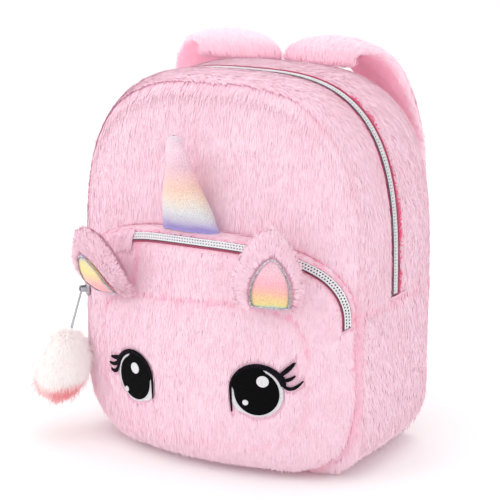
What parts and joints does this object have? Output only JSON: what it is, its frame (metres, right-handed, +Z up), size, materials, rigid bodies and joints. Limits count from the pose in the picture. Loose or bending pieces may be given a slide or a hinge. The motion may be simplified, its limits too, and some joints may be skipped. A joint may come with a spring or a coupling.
{
  "type": "kids animal backpack",
  "caption": "Kids' plush unicorn backpack: arched hollow bag with a zipped face pocket, satin horn, two ears, stitched eyes, padded straps and a pompom on the pocket's pull.",
  "frame": {"origin": "middle of the flat bottom, on the surface the bag stands on", "axes": "+Z up, -Y out of the front (the face), +X to the right as seen from the front; the back and the straps are at +Y"},
  "size_m": [0.2644, 0.2067, 0.2921],
  "materials": {
    "plush": "short brushed plush pile",
    "zipper_tape": "woven tape",
    "zipper_metal": "silver plated",
    "webbing": "woven",
    "satin": "iridescent rainbow satin",
    "eye_white": "satin stitch",
    "eye_black": "satin stitch",
    "pompom_fur": "long soft fur"
  },
  "bodies": {
    "bag": {"front_panel": "plush", "back_panel": "plush", "front_gusset": "plush", "back_gusset": "plush", "lower_gusset": "plush", "pocket_face": "plush", "pocket_back_gusset": "plush", "pocket_brow": "plush", "pocket_side_gusset": "plush", "ear_left": "plush", "ear_right": "plush", "strap_left": "plush", "strap_right": "plush", "main_zipper_tape": "zipper_tape", "pocket_zipper_tape": "zipper_tape", "main_zipper_teeth": "zipper_metal", "pocket_zipper_teeth": "zipper_metal", "main_slider": "zipper_metal", "pocket_slider": "zipper_metal", "strap_webbing_left": "webbing", "strap_webbing_right": "webbing", "strap_adjuster_left": "webbing", "strap_adjuster_right": "webbing", "horn": "satin", "ear_patch_left": "satin", "ear_patch_right": "satin", "eye_white_left": "eye_white", "eye_white_right": "eye_white", "eye_glint_large_left": "eye_white", "eye_glint_small_left": "eye_white", "eye_glint_large_right": "eye_white", "eye_glint_small_right": "eye_white", "eye_pupil_left": "eye_black", "eye_pupil_right": "eye_black", "lashes_left": "eye_black", "lashes_right": "eye_black"},
    "pompom_pull": {"pull_bar": "zipper_metal", "pompom": "pompom_fur"}
  },
  "joints": [
    {"name": "pull_swing", "type": "hinge", "parent": "bag", "child": "pompom_pull", "pos_m": [-0.1125, -0.06565, 0.111], "axis": [-0.783, 0.622, 0], "range_deg": [0, 90]}
  ]
}
